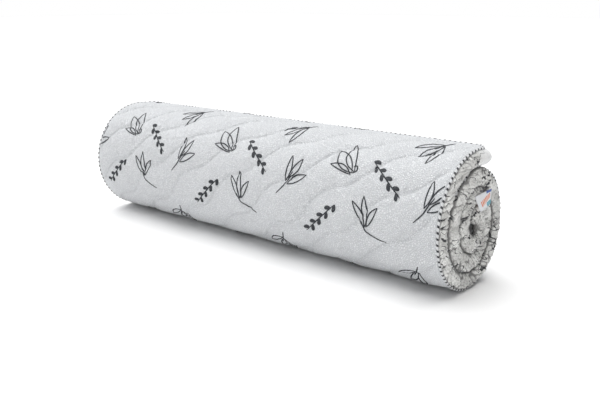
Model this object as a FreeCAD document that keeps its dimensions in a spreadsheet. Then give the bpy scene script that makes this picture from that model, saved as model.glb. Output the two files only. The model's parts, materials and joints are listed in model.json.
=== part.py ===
import FreeCAD, Part
import os

# Memory foam mattress, rolled up with its free end lying on top of the roll.
# Frame: +X along the roll, -Y the side that the free lap comes down, +Z up, floor at z = 0.
# The roll is a spiral of exact half turns.  Front half turns (even numbers) are centred on the
# front centre, back half turns (odd numbers) on the back centre, half a pitch further along the
# split line.  Half turn 0 is the free lap; the rest of the roll starts with half turn 1.

SIZES = [
    ("roll_length", 1400, "width of the mattress, which is the length of the roll"),
    ("roll_radius", 192, "outer radius of the free lap"),
    ("panel_thickness", 6, "quilted cover panel, as thick as the piping that closes it"),
    ("memory_thickness", 21, "memory foam layer"),
    ("support_thickness", 17, "support foam layer"),
    ("turn_gap", 1, "air between one turn and the next"),
    ("border_thickness", 4, "side border of the cover"),
    ("split_angle", 20, "lean of the split line from upright"),
    ("section_gap", 1, "clearance between two sections of the lap, at the outer face"),
    ("floor_sink", 2.7, "how far the roll flattens where it stands"),
    ("core_radius", 12, "smallest inner radius that the foam is bent to"),
    ("label_length", 44, "sewn label, along the turn"),
    ("label_margin", 3, "border left free on each side of the label"),
    ("label_thickness", 0.8, "sewn label"),
    ("label_turn", 173, "place of the label round its half turn"),
    ("zip_inset", 45, "end of the zip to the side of the mattress"),
    ("tape_width", 30, "zip tape"),
    ("tape_thickness", 1, "zip tape"),
    ("coil_width", 6, "zip coil"),
    ("coil_height", 1.5, "zip coil"),
    ("stop_length", 4, "end stop of the zip"),
    ("stop_rim", 0.7, "end stop beyond the coil all round"),
    ("slider_length", 14, "zip slider along the zip"),
    ("slider_width", 11, "zip slider across the zip"),
    ("slider_roof", 1.6, "zip slider above the coil"),
    ("slider_clearance", 0.4, "slider to coil, tape and stops"),
    ("bar_radius", 0.8, "bar that the pull hangs on"),
    ("bar_height", 2.4, "bar axis above the slider"),
    ("post_width", 1.2, "posts that carry the bar"),
    ("post_rim", 0.6, "posts beyond the bar all round"),
    ("pull_clearance", 0.3, "eye of the pull to the bar and posts"),
    ("eye_wall", 0.7, "wall of the eye of the pull"),
    ("pull_width", 5, "zip pull"),
    ("pull_thickness", 1.4, "zip pull"),
    ("pull_length", 16, "zip pull, from the bar to its tip"),
]

LAP_SECTIONS = 6       # the free lap bends at this many hinge lines
LABEL_HALF_TURN = 3    # the label is sewn on this half turn of the right border
SIDES = (("left", -1), ("right", 1))

# Sizes worked out from the driving ones, as expressions on the sheet.
THICKNESS = "(2 * Sizes.panel_thickness + Sizes.memory_thickness + Sizes.support_thickness)"
HALF_PITCH = f"(({THICKNESS} + Sizes.turn_gap) / 2)"
CORD_RADIUS = "(Sizes.panel_thickness / 2)"
HALF_LENGTH = "(Sizes.roll_length / 2)"
BACK_Y = f"({HALF_PITCH} / 2 * (1 - sin(Sizes.split_angle)))"
BACK_Z = f"(Sizes.roll_radius - {HALF_PITCH} - Sizes.floor_sink)"
FRONT_Y = f"({BACK_Y} + {HALF_PITCH} * sin(Sizes.split_angle))"
FRONT_Z = f"({BACK_Z} + {HALF_PITCH} * cos(Sizes.split_angle))"
PANEL_END = f"({HALF_LENGTH} - Sizes.panel_thickness)"
FOAM_END = f"({HALF_LENGTH} - Sizes.border_thickness)"
SECTION_ANGLE = f"(180 / {LAP_SECTIONS})"
GAP_ANGLE = "(Sizes.section_gap / 2 / Sizes.roll_radius * 180 / pi)"

# Each layer: depth of its outer face, depth of its inner face, and where it ends along the roll.
FOAM_TOP = "Sizes.panel_thickness"
FOAM_SPLIT = "(Sizes.panel_thickness + Sizes.memory_thickness)"
FOAM_BASE = f"({THICKNESS} - Sizes.panel_thickness)"
LAYERS = {
    "outer_panel": ("0", FOAM_TOP, PANEL_END),
    "memory_foam": (FOAM_TOP, FOAM_SPLIT, FOAM_END),
    "support_foam": (FOAM_SPLIT, FOAM_BASE, FOAM_END),
    "inner_panel": (FOAM_BASE, THICKNESS, PANEL_END),
}
# How far each layer stops short of the round core space, for the head border or its piping.
CORE_TRIM = {
    "outer_panel": "0",
    "memory_foam": "Sizes.border_thickness",
    "support_foam": "Sizes.border_thickness",
    "inner_panel": "Sizes.panel_thickness",
}
CORD_DEPTHS = {"outer": CORD_RADIUS, "inner": f"({THICKNESS} - {CORD_RADIUS})"}

doc = FreeCAD.newDocument("rolled_mattress")
sizes = doc.addObject("Spreadsheet::Sheet", "Sizes")
for row, (alias, value, note) in enumerate(SIZES, start=1):
    sizes.set(f"A{row}", str(value))
    sizes.setAlias(f"A{row}", alias)
    sizes.set(f"B{row}", note)
doc.recompute()

nodes = []


def shaped(kind, name, **expressions):
    """Add an object of the document with its properties bound to the sheet."""
    piece = doc.addObject(kind, name)
    for prop, expression in expressions.items():
        piece.setExpression(prop, expression)
    return piece


def node(piece, label):
    """Keep this object as one sub-part of the mattress."""
    piece.Label = label
    nodes.append(piece)
    return piece


def radius(turn):
    """Outer radius of a half turn."""
    return f"(Sizes.roll_radius - {turn} * {HALF_PITCH})"


def frame(turn, x, q="0", w="0", spin="0", along_w=False):
    """Placement on a half turn: q runs out along its start, w runs inwards round the spiral."""
    back = turn % 2 == 1
    centre_y, centre_z = (BACK_Y, BACK_Z) if back else (FRONT_Y, FRONT_Z)
    angle = f"({270 if back else 90} - Sizes.split_angle + {spin})"
    y = f"{centre_y} + ({q}) * cos({angle}) - ({w}) * sin({angle})"
    z = f"{centre_z} + ({q}) * sin({angle}) + ({w}) * cos({angle})"
    turned = f"rotation(vector(1; 0; 0); {angle})"
    if not along_w:
        turned += " * rotation(vector(1; 1; 1); 120)"
    return f"placement(vector({x}; {y}; {z}); {turned})"


def disc(name, turn, outer, x0, length, spin="0", sweep="180"):
    """A sector of a solid disc about the centre of a half turn."""
    place = frame(turn, x0, spin=spin)
    return shaped("Part::Cylinder", name, Radius=outer, Height=length, Angle=sweep, Placement=place)


def block(name, turn, q, w, x0, q_size, w_size, length, spin="0"):
    """A box in the frame of a half turn."""
    place = frame(turn, x0, q=q, w=w, spin=spin)
    return shaped("Part::Box", name, Length=q_size, Width=w_size, Height=length, Placement=place)


def cut(name, base, tool):
    piece = doc.addObject("Part::Cut", name)
    piece.Base = base
    piece.Tool = tool
    return piece


def common(name, base, tool):
    piece = doc.addObject("Part::Common", name)
    piece.Base = base
    piece.Tool = tool
    return piece


def fuse(name, pieces):
    piece = doc.addObject("Part::MultiFuse", name)
    piece.Shapes = pieces
    return piece


def group(name, pieces):
    """Separate solids that share one node."""
    piece = doc.addObject("Part::Compound", name)
    piece.Links = pieces
    return piece


def band(name, turn, depths, span, spin="0", sweep="180"):
    """Part of a turn between two depths below its outer face, and between two places in X."""
    top, base = depths
    start, end = span
    length = f"({end}) - ({start})"
    outside = disc(f"{name}_outside", turn, f"{radius(turn)} - {top}", start, length, spin, sweep)
    inside = disc(f"{name}_inside", turn, f"{radius(turn)} - {base}", start, length, sweep="360")
    return cut(name, outside, inside)


def cord_arc(name, turn, depth, side, spin="0", sweep="180"):
    """Piping cord round part of a turn, at one side of the mattress."""
    place = frame(turn, f"{side} * ({HALF_LENGTH} - {CORD_RADIUS})", spin=spin)
    centreline = f"{radius(turn)} - {depth}"
    return shaped("Part::Torus", name, Radius1=centreline, Radius2=CORD_RADIUS, Angle3=sweep, Placement=place)


def side_span(side, thickness):
    """The slice of this thickness at the left or right side of the mattress."""
    if side < 0:
        return (f"-{HALF_LENGTH}", f"{thickness} - {HALF_LENGTH}")
    return (f"{HALF_LENGTH} - {thickness}", HALF_LENGTH)


def full_span(end):
    return (f"-{end}", end)


def stub(name, depths, span, trim):
    """The last straight piece of a layer, squeezed into the core and trimmed round."""
    start, end = span
    length = f"({end}) - ({start})"
    core = disc(f"{name}_core", STUB_TURN, f"{radius(STUB_TURN)} - {trim}", start, length)
    slab = block(f"{name}_slab", STUB_TURN, f"{radius(STUB_TURN)} - {depths[1]}", "0", start,
                 f"{depths[1]} - {depths[0]}", radius(STUB_TURN), length)
    return common(name, core, slab)


def half_turn_count():
    """Number of half turns behind the lap, before the foam would be bent too tight."""
    thickness = 2 * sizes.panel_thickness + sizes.memory_thickness + sizes.support_thickness
    half_pitch = (thickness + sizes.turn_gap) / 2
    return int((sizes.roll_radius - thickness - sizes.core_radius) / half_pitch)


HALF_TURNS = half_turn_count()
STUB_TURN = HALF_TURNS + 1


def below(name, height, span):
    """Everything lower than this height, over a span of the roll's length."""
    start, end = span
    depth = "Sizes.roll_radius"
    place = f"placement(vector({start}; -2 * Sizes.roll_radius; {height} - {depth}); rotation(0; 0; 0))"
    return shaped("Part::Box", name, Length=f"({end}) - ({start})", Width="4 * Sizes.roll_radius",
                  Height=depth, Placement=place)


def rolled_layers():
    """The four layers of the mattress from the foot of the lap to the core."""
    for layer, (top, base, end) in LAYERS.items():
        name = f"{layer}_roll"
        span = full_span(end)
        turns = [band(f"{name}_{turn}", turn, (top, base), span) for turn in range(1, STUB_TURN)]
        turns.append(stub(f"{name}_stub", (top, base), span, CORE_TRIM[layer]))
        whole = fuse(f"{name}_whole", turns)
        if layer == "outer_panel":
            flat = cut(f"{name}_on_floor", whole, below(f"{name}_floor", "0", span))
            patch = common(f"{name}_patch_round",
                           disc(f"{name}_patch_disc", 1, radius(1), span[0], f"2 * {end}", sweep="360"),
                           block_on_floor(f"{name}_patch_slab", span))
            node(fuse(name, [flat, patch]), name)
        elif layer == "memory_foam":
            node(cut(name, whole, below(f"{name}_floor", "Sizes.panel_thickness", span)), name)
        else:
            node(whole, name)


def block_on_floor(name, span):
    """The slab of cover panel that lies flat on the floor under the roll."""
    start, end = span
    flat_half = f"sqrt(2 * {radius(1)} * Sizes.floor_sink - Sizes.floor_sink ^ 2)"
    place = f"placement(vector({start}; {BACK_Y} - {flat_half}; 0); rotation(0; 0; 0))"
    return shaped("Part::Box", name, Length=f"({end}) - ({start})", Width=f"2 * {flat_half}",
                  Height="Sizes.panel_thickness", Placement=place)


def rolled_borders():
    """Side borders of the roll; the right one is let in for the label."""
    for side_name, side in SIDES:
        name = f"{side_name}_border_roll"
        span = side_span(side, "Sizes.border_thickness")
        depths = (FOAM_TOP, FOAM_BASE)
        pieces = [band(f"{name}_{turn}", turn, depths, span) for turn in range(1, STUB_TURN)]
        pieces.append(stub(f"{name}_stub", depths, span, "Sizes.border_thickness"))
        border = fuse(f"{name}_whole", pieces)
        if side > 0:
            border = cut(f"{name}_with_label_bed", border, label_block("label_bed"))
        node(border, name)
    node(label_block("care_label"), "care_label")


def label_block(name):
    width = f"({FOAM_BASE} - {FOAM_TOP} - 2 * Sizes.label_margin)"
    middle = f"{radius(LABEL_HALF_TURN)} - {THICKNESS} / 2"
    return block(name, LABEL_HALF_TURN, f"{middle} - {width} / 2", "-Sizes.label_length / 2",
                 f"{HALF_LENGTH} - Sizes.label_thickness", width, "Sizes.label_length",
                 "Sizes.label_thickness", spin="Sizes.label_turn")


def rolled_piping():
    """Piping cords along both edges of both panels, and along the head end."""
    last_q = f"({radius(STUB_TURN)} - {CORD_DEPTHS['inner']})"
    panel_round = f"({radius(STUB_TURN)} - Sizes.panel_thickness)"
    for side_name, side in SIDES:
        for face, depth in CORD_DEPTHS.items():
            name = f"{side_name}_{face}_piping_roll"
            arcs = [cord_arc(f"{name}_{turn}", turn, depth, side) for turn in range(1, STUB_TURN)]
            if face == "inner":
                place = frame(STUB_TURN, f"{side} * ({HALF_LENGTH} - {CORD_RADIUS})", q=last_q, along_w=True)
                arcs.append(shaped("Part::Cylinder", f"{name}_stub", Radius=CORD_RADIUS,
                                   Height=f"sqrt({panel_round} ^ 2 - {last_q} ^ 2)", Placement=place))
                node(fuse(name, arcs), name)
            else:
                whole = fuse(f"{name}_whole", arcs)
                span = side_span(side, "Sizes.panel_thickness")
                node(cut(name, whole, below(f"{name}_floor", "0", span)), name)
    head_w = f"sqrt(({radius(STUB_TURN)} - {CORD_RADIUS}) ^ 2 - {last_q} ^ 2)"
    node(shaped("Part::Cylinder", "head_piping", Radius=CORD_RADIUS, Height="Sizes.roll_length",
                Placement=frame(STUB_TURN, f"-{HALF_LENGTH}", q=last_q, w=head_w)), "head_piping")


def head_border():
    """Border of the head end, wrapped round the squeezed core."""
    span = full_span(FOAM_END)
    ring = stub("head_border_ring", (FOAM_TOP, FOAM_BASE), span, "0")
    hollow = disc("head_border_hollow", STUB_TURN, f"{radius(STUB_TURN)} - Sizes.border_thickness",
                  span[0], f"2 * {FOAM_END}", sweep="360")
    node(cut("head_border", ring, hollow), "head_border")


def free_lap():
    """The half turn that unrolls, in equal sections with a hinge line before each."""
    for section in range(1, LAP_SECTIONS + 1):
        last = section == LAP_SECTIONS
        spin = "0" if last else f"(180 - {section} * {SECTION_ANGLE} + {GAP_ANGLE})"
        sweep = f"({SECTION_ANGLE} - {GAP_ANGLE})" if last else f"({SECTION_ANGLE} - 2 * {GAP_ANGLE})"
        body = f"lap_{section}"
        for layer, (top, base, end) in LAYERS.items():
            piece = band(f"{body}_{layer}_arc", 0, (top, base), full_span(end), spin, sweep)
            if last:
                short = "Sizes.panel_thickness" if "panel" in layer else "Sizes.border_thickness"
                piece = cut(f"{body}_{layer}_ended", piece, end_block(f"{body}_{layer}_end", short))
            node(piece, f"{body}_{layer}")
        borders = []
        cords = []
        for side_name, side in SIDES:
            span = side_span(side, "Sizes.border_thickness")
            name = f"{body}_{side_name}_border"
            border = band(name, 0, (FOAM_TOP, FOAM_BASE), span, spin, sweep)
            if last:
                border = cut(f"{name}_ended", border, end_block(f"{name}_end", "Sizes.border_thickness"))
            borders.append(border)
            for face, depth in CORD_DEPTHS.items():
                name = f"{body}_{side_name}_{face}_cord"
                cord = cord_arc(name, 0, depth, side, spin, sweep)
                if last:
                    cord = cut(f"{name}_ended", cord, end_block(f"{name}_end", "Sizes.panel_thickness"))
                cords.append(cord)
        node(group(f"{body}_borders", borders), f"{body}_side_borders")
        node(group(f"{body}_cords", cords), f"{body}_piping")


def end_block(name, length):
    """What is taken off the free end of a layer to leave room for the foot border or its piping."""
    reach = "2 * Sizes.roll_radius"
    return block(name, 0, "0", f"{length} - {reach}", f"-{HALF_LENGTH}", reach, reach, "Sizes.roll_length")


def foot_end():
    """Border and piping across the free end."""
    layer = band("foot_border_arc", 0, (FOAM_TOP, FOAM_BASE), full_span(HALF_LENGTH), "0", SECTION_ANGLE)
    node(common("foot_border_strip", layer, end_block("foot_border_end", "Sizes.border_thickness")),
         "foot_border")
    for face, depth in CORD_DEPTHS.items():
        name = f"foot_{face}_piping"
        q = f"sqrt(({radius(0)} - {depth}) ^ 2 - {CORD_RADIUS} ^ 2)"
        place = frame(0, f"-{HALF_LENGTH}", q=q, w=CORD_RADIUS)
        node(shaped("Part::Cylinder", name, Radius=CORD_RADIUS, Height="Sizes.roll_length",
                    Placement=place), name)


# The zip lies along the middle of the foot border and stands proud of it, towards -w.
ZIP_Q = f"({radius(0)} - {THICKNESS} / 2)"
ZIP_END = f"({HALF_LENGTH} - Sizes.zip_inset)"
COIL_TOP = "(Sizes.tape_thickness + Sizes.coil_height)"
SLIDER_BASE = "(Sizes.tape_thickness + Sizes.slider_clearance)"
SLIDER_TOP = f"({COIL_TOP} + Sizes.slider_clearance + Sizes.slider_roof)"
BAR_W = f"({SLIDER_TOP} + Sizes.bar_height)"
SLIDER_X = f"({ZIP_END} - Sizes.stop_length - Sizes.slider_clearance - Sizes.slider_length)"
SLIDER_MIDDLE = f"({SLIDER_X} + Sizes.slider_length / 2)"
BAR_END = "(Sizes.pull_width / 2 + Sizes.pull_clearance + Sizes.post_width / 2)"
POST_REACH = "(Sizes.bar_radius + Sizes.post_rim)"


def zip_block(name, width, base, top, x0, length):
    """A box centred on the zip, between two heights above the foot border."""
    return block(name, 0, f"{ZIP_Q} - {width} / 2", f"-({top})", x0, width, f"{top} - {base}", length)


def zip_fastener():
    node(zip_block("zip_tape", "Sizes.tape_width", "0", "Sizes.tape_thickness", f"-{ZIP_END}",
                   f"2 * {ZIP_END}"), "zip_tape")
    run = f"({ZIP_END} - Sizes.stop_length)"
    node(zip_block("zip_coil", "Sizes.coil_width", "Sizes.tape_thickness", COIL_TOP, f"-{run}",
                   f"2 * {run}"), "zip_coil")
    stops = []
    for side_name, side in SIDES:
        middle = f"{side} * ({run} + Sizes.stop_length / 2)"
        stops.append(zip_block(f"zip_stop_{side_name}", "(Sizes.coil_width + 2 * Sizes.stop_rim)",
                               "Sizes.tape_thickness", f"({COIL_TOP} + Sizes.stop_rim)",
                               f"{middle} - Sizes.stop_length / 2", "Sizes.stop_length"))
    node(group("zip_stop_pair", stops), "zip_stops")


def zip_slider():
    body = zip_block("slider_body", "Sizes.slider_width", SLIDER_BASE, SLIDER_TOP, SLIDER_X,
                     "Sizes.slider_length")
    channel = zip_block("slider_channel", "(Sizes.coil_width + 2 * Sizes.slider_clearance)", "0",
                        f"({COIL_TOP} + Sizes.slider_clearance)", SLIDER_X, "Sizes.slider_length")
    pieces = [cut("slider_shell", body, channel)]
    for side_name, side in SIDES:
        x0 = f"{SLIDER_MIDDLE} + {side} * {BAR_END} - Sizes.post_width / 2"
        pieces.append(zip_block(f"slider_post_{side_name}", f"2 * {POST_REACH}", SLIDER_TOP,
                                f"{BAR_W} + {POST_REACH}", x0, "Sizes.post_width"))
    bar = shaped("Part::Cylinder", "slider_bar", Radius="Sizes.bar_radius", Height=f"2 * {BAR_END}",
                 Placement=frame(0, f"{SLIDER_MIDDLE} - {BAR_END}", q=ZIP_Q, w=f"-{BAR_W}"))
    pieces.append(bar)
    node(fuse("slider_whole", pieces), "zip_slider")


def zip_pull():
    """The pull hangs straight down from the bar."""
    bore = "(Sizes.bar_radius + Sizes.pull_clearance)"
    x0 = f"{SLIDER_MIDDLE} - Sizes.pull_width / 2"
    at_bar = frame(0, x0, q=ZIP_Q, w=f"-{BAR_W}")
    eye = shaped("Part::Cylinder", "pull_eye", Radius=f"{bore} + Sizes.eye_wall",
                 Height="Sizes.pull_width", Placement=at_bar)
    hole = shaped("Part::Cylinder", "pull_hole", Radius=bore, Height="Sizes.pull_width", Placement=at_bar)
    angle = "(90 - Sizes.split_angle)"
    y = f"{FRONT_Y} + {ZIP_Q} * cos({angle}) + {BAR_W} * sin({angle}) - Sizes.pull_thickness / 2"
    z = f"{FRONT_Z} + {ZIP_Q} * sin({angle}) - {BAR_W} * cos({angle}) - Sizes.pull_length"
    tab = shaped("Part::Box", "pull_tab", Length="Sizes.pull_width", Width="Sizes.pull_thickness",
                 Height="Sizes.pull_length",
                 Placement=f"placement(vector({x0}; {y}; {z}); rotation(0; 0; 0))")
    node(cut("pull_whole", fuse("pull_blank", [eye, tab]), hole), "zip_pull")


def write_nodes():
    """Check every object, then write each sub-part."""
    doc.recompute()
    for piece in doc.Objects:
        if "Invalid" in piece.State or "Error" in piece.State:
            raise RuntimeError(f"{piece.Name} did not rebuild: {piece.State}")
    for piece in nodes:
        if piece.Shape.isNull() or not piece.Shape.isValid() or not piece.Shape.Solids:
            raise RuntimeError(f"{piece.Label} is not a valid solid")
    os.makedirs("parts", exist_ok=True)
    for piece in nodes:
        piece.Shape.exportStep(f"parts/{piece.Label}.step")
        print(f"{piece.Label}: {len(piece.Shape.Solids)} solid(s), {piece.Shape.Volume / 1000:.2f} cm3")


rolled_layers()
rolled_borders()
rolled_piping()
head_border()
free_lap()
foot_end()
zip_fastener()
zip_slider()
zip_pull()
write_nodes()
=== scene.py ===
import json
import math
from dataclasses import dataclass

import bpy
import numpy as np
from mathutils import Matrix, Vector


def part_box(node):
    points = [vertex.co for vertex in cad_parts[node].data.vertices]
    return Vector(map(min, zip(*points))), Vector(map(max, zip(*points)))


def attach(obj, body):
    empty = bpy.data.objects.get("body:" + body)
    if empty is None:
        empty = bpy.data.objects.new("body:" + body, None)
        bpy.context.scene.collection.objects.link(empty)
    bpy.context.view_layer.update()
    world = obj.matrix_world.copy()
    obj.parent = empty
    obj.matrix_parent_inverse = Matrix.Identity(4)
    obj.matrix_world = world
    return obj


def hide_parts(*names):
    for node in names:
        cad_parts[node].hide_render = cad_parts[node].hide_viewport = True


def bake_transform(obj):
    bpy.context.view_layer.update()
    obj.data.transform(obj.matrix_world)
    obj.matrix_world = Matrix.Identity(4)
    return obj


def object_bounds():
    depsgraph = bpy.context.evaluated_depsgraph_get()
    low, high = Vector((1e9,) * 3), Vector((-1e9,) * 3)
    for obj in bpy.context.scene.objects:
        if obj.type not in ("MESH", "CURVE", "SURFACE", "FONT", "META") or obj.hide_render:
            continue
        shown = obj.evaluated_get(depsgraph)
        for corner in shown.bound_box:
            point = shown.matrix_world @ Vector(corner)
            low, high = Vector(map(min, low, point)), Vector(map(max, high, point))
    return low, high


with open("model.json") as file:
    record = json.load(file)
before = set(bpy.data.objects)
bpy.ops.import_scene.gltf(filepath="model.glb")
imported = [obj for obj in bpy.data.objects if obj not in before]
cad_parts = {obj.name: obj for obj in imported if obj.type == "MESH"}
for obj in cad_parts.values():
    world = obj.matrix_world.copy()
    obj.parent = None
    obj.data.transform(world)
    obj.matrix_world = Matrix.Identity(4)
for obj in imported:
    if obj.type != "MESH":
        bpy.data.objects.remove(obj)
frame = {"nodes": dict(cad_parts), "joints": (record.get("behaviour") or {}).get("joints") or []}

cad_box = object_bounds()
RANDOM = np.random.default_rng(17)

# Sizes of the mattress, in metres
THICKNESS = 0.050
TURN_GAP = 0.001
HALF_TURNS = 6
PANEL_DEPTH = 0.006
MEMORY_DEPTH = 0.021
SUPPORT_DEPTH = 0.017
SEAM_INSET = 0.006
CORD_RADIUS = 0.003
CORD_INSET = 0.003
CORNER_RADIUS = 0.043
HEAD_LENGTH = 0.036
CORE_DROP = 0.011
SETTLE = 0.0016
SWAY_START = 0.55
SWAY_EASE = 0.40

CLOTH_STEP = 0.004
CORE_STEP = 0.012
EDGE_STEP = 0.003
VISIBLE_MARGIN = 0.05

QUILT_SPACING = 0.126
QUILT_START = 0.064
QUILT_SLOPE = 0.72
QUILT_WAVE = 0.013
QUILT_WAVE_LENGTH = 0.19
QUILT_DEPTH = 0.0036
QUILT_PUFF = 0.0046
QUILT_REST = 0.0015
QUILT_EASE = 0.012
QUILT_FRAMES = 14
STITCH_REACH = 0.006
VALLEY_REACH = 0.0052
PUCKER_DEPTH = 0.0007
PUCKER_REACH = 0.016
SEWN_REACH = 0.022
SEWN_DEPTH = 0.0016
INNER_FILLING = 0.8

BORDER_RUN = 2.6
BORDER_LEAD = 0.08
BORDER_EASE = 0.09
BORDER_FRAMES = 16
BORDER_MIRROR = 2.35
BORDER_OVERLAP = 0.0006
BORDER_TURN_IN = 0.0045
BORDER_DEPTH = 0.0035
BORDER_COLUMNS = 25
BORDER_PUFF = 0.012
CORNER_PUFF = 0.010
BORDER_WANDER = 0.0016
CORE_TUCK = 0.012
CORE_TUCK_PLACE = 0.05
CORE_TUCK_REACH = 0.045
FOLD_SCALE = 0.002
CALM_FOLD = 0.85
EXPOSED_GAP = 0.004
END_LIFT = 0.0092
END_LIFT_REACH = 0.024
END_LIFT_DEPTH = 0.4
PIPING_DASH = 0.016
PLY_DEPTH = 0.00035
CORD_SIDES = 12

FOAM_GAP = 0.0004
FOAM_DIP = 0.0003
FOAM_INSET = 0.002
FOAM_COLUMNS = 120

HALF_LENGTH = cad_box[1].x
SEAM = HALF_LENGTH - SEAM_INSET
HALF_STEP = (THICKNESS + TURN_GAP) / 2


def lap_hinges():
    """The six hinge lines of the outermost half turn, as points across the roll, from the roll outwards."""
    rows = [joint for joint in frame["joints"] if joint["name"].startswith("lap_bend")]
    return [np.array(joint["pos_m"]) for joint in rows]


def circle_through(first, second, third):
    """Centre and radius, across the roll, of the circle through three points."""
    a, b, c = first[1:], second[1:], third[1:]
    lines = 2 * np.array([b - a, c - a])
    centre = np.linalg.solve(lines, np.array([b @ b - a @ a, c @ c - a @ a]))
    return centre, float(np.linalg.norm(a - centre))


HINGES = lap_hinges()
FRONT_CENTRE, LAP_RADIUS = circle_through(HINGES[0], HINGES[2], HINGES[5])
FIRST_HINGE = HINGES[0][1:] - FRONT_CENTRE
FREE_END = math.atan2(FIRST_HINGE[1], FIRST_HINGE[0]) + math.pi
TURN_RADII = LAP_RADIUS - HALF_STEP * np.arange(HALF_TURNS)
TURN_STARTS = np.concatenate([[0.0], np.cumsum(math.pi * TURN_RADII)])
CORE_START = TURN_STARTS[-1]
CORE_RADIUS = LAP_RADIUS - HALF_STEP * HALF_TURNS
HEAD_END = CORE_START + HEAD_LENGTH


# Where a point of the unrolled mattress lies on the roll
def roll_point(along, depth):
    """Y and Z of a point at this length from the free end, this deep under the outer face."""
    half = np.clip(np.searchsorted(TURN_STARTS, along, side="right") - 1, 0, HALF_TURNS - 1)
    radius = TURN_RADII[half]
    angle = FREE_END + math.pi * half + (along - TURN_STARTS[half]) / radius
    shift = HALF_STEP * (half % 2)
    y = FRONT_CENTRE[0] - shift * math.cos(FREE_END) + (radius - depth) * np.cos(angle)
    z = FRONT_CENTRE[1] - shift * math.sin(FREE_END) + (radius - depth) * np.sin(angle)
    return y, z


def core_point(along, depth):
    """Y and Z of a point of the head end, which lies straight and squeezed in the core."""
    reach = np.clip(along - CORE_START, 0.0, CORE_RADIUS * 0.99)
    upper = np.sqrt(CORE_RADIUS**2 - reach**2)
    height = upper - depth * (upper + CORE_DROP) / THICKNESS
    y = FRONT_CENTRE[0] + height * math.cos(FREE_END) - reach * math.sin(FREE_END)
    z = FRONT_CENTRE[1] + height * math.sin(FREE_END) + reach * math.cos(FREE_END)
    return y, z


def sway(along):
    """How far a turn has slid along the roll: turns never line up exactly."""
    settled = np.clip((along - SWAY_START) / SWAY_EASE, 0.0, 1.0)
    return settled * (0.0035 * np.sin(along * 6.1) + 0.002 * np.sin(along * 15.7 + 1.3))


def end_lift(along, depth):
    """The free end springs up a little: its outer cord and cover rise, its middle stays."""
    share = np.clip(1.0 - depth / (THICKNESS * END_LIFT_DEPTH), 0.0, 1.2)
    return END_LIFT * share * np.exp(-((along / END_LIFT_REACH) ** 2))


def place(across, along, depth):
    """Lays a point of the flat mattress on the roll: across from its middle, along from its free end."""
    across, along, depth = np.broadcast_arrays(across, along, depth)
    depth = depth - end_lift(along, depth)
    y, z = roll_point(along, depth)
    core_y, core_z = core_point(along, depth)
    y = np.where(along > CORE_START, core_y, y)
    z = np.where(along > CORE_START, core_z, z)
    z = (z + np.sqrt(z**2 + SETTLE**2)) / 2
    return np.stack([across + sway(along), y, z], axis=-1)


def half_width(along):
    """Distance from the middle to the long seam, less at the rounded corners of the free end."""
    short = np.clip(SEAM_INSET + CORNER_RADIUS - along, 0.0, CORNER_RADIUS)
    return SEAM - CORNER_RADIUS + np.sqrt(CORNER_RADIUS**2 - short**2)


# Cloth simulated flat, then laid on the roll
UNEVENNESS = 0.0006
QUILT_GRID = 0.009
BORDER_GRID = 0.0055


def cloth_grid(name, width, length, spacing):
    """A flat, slightly uneven cloth as an object, with its grid of points."""
    columns = round(width / spacing) + 1
    rows = round(length / spacing) + 1
    x, y = np.meshgrid(np.linspace(0, width, columns), np.linspace(0, length, rows), indexing="ij")
    lift = RANDOM.normal(0.0, UNEVENNESS, x.shape)
    points = np.stack([x, y, lift], axis=-1).reshape(-1, 3)
    index = np.arange(columns * rows).reshape(columns, rows)
    corners = [index[:-1, :-1], index[1:, :-1], index[1:, 1:], index[:-1, 1:]]
    faces = np.stack(corners, axis=-1).reshape(-1, 4)
    mesh = bpy.data.meshes.new(name)
    mesh.from_pydata(points.tolist(), [], faces.tolist())
    cloth = bpy.data.objects.new(name, mesh)
    bpy.context.scene.collection.objects.link(cloth)
    return cloth, x, y


def inflate(name, width, length, spacing, held, ease, frames):
    """Heights of a cloth that is held where held(x, y) is true, cut larger by ease and filled from below."""
    cloth, x, y = cloth_grid(name, width, length, spacing)
    group = cloth.vertex_groups.new(name="held")
    group.add(np.flatnonzero(held(x, y).ravel()).tolist(), 1.0, "REPLACE")
    modifier = cloth.modifiers.new("Cloth", "CLOTH")
    modifier.settings.quality = 5
    modifier.settings.mass = 0.15
    modifier.settings.bending_stiffness = 0.4
    modifier.settings.vertex_group_mass = "held"
    modifier.settings.shrink_min = -ease
    modifier.settings.use_pressure = True
    modifier.settings.uniform_pressure_force = 4.0
    modifier.settings.effector_weights.gravity = 0.0
    modifier.collision_settings.use_collision = False
    for number in range(1, frames + 1):
        bpy.context.scene.frame_set(number)
    shown = cloth.evaluated_get(bpy.context.evaluated_depsgraph_get())
    points = np.zeros(len(shown.data.vertices) * 3)
    shown.data.vertices.foreach_get("co", points)
    heights = points.reshape(-1, 3)[:, 2].reshape(x.shape)
    bpy.context.scene.frame_set(1)
    bpy.data.objects.remove(cloth)
    return heights / max(np.percentile(np.abs(heights), 97), 1e-6)


@dataclass
class Field:
    """Heights on a flat grid, read anywhere by bilinear interpolation."""

    heights: np.ndarray
    start: tuple
    spacing: float

    def at(self, x, y):
        columns, rows = self.heights.shape
        u = np.clip((x - self.start[0]) / self.spacing, 0, columns - 1.001)
        v = np.clip((y - self.start[1]) / self.spacing, 0, rows - 1.001)
        i = u.astype(int)
        j = v.astype(int)
        u = u - i
        v = v - j
        low = self.heights[i, j] * (1 - u) + self.heights[i + 1, j] * u
        high = self.heights[i, j + 1] * (1 - u) + self.heights[i + 1, j + 1] * u
        return low * (1 - v) + high * v


def quilt_distance(across, along):
    """Distance to the nearest quilting line: wavy diagonal rows of stitches."""
    wave = QUILT_WAVE * np.sin(2 * math.pi * across / QUILT_WAVE_LENGTH)
    rows = (along - QUILT_START + QUILT_SLOPE * across - wave) / QUILT_SPACING
    return np.abs(rows - np.round(rows)) * QUILT_SPACING / math.hypot(1.0, QUILT_SLOPE)


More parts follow.
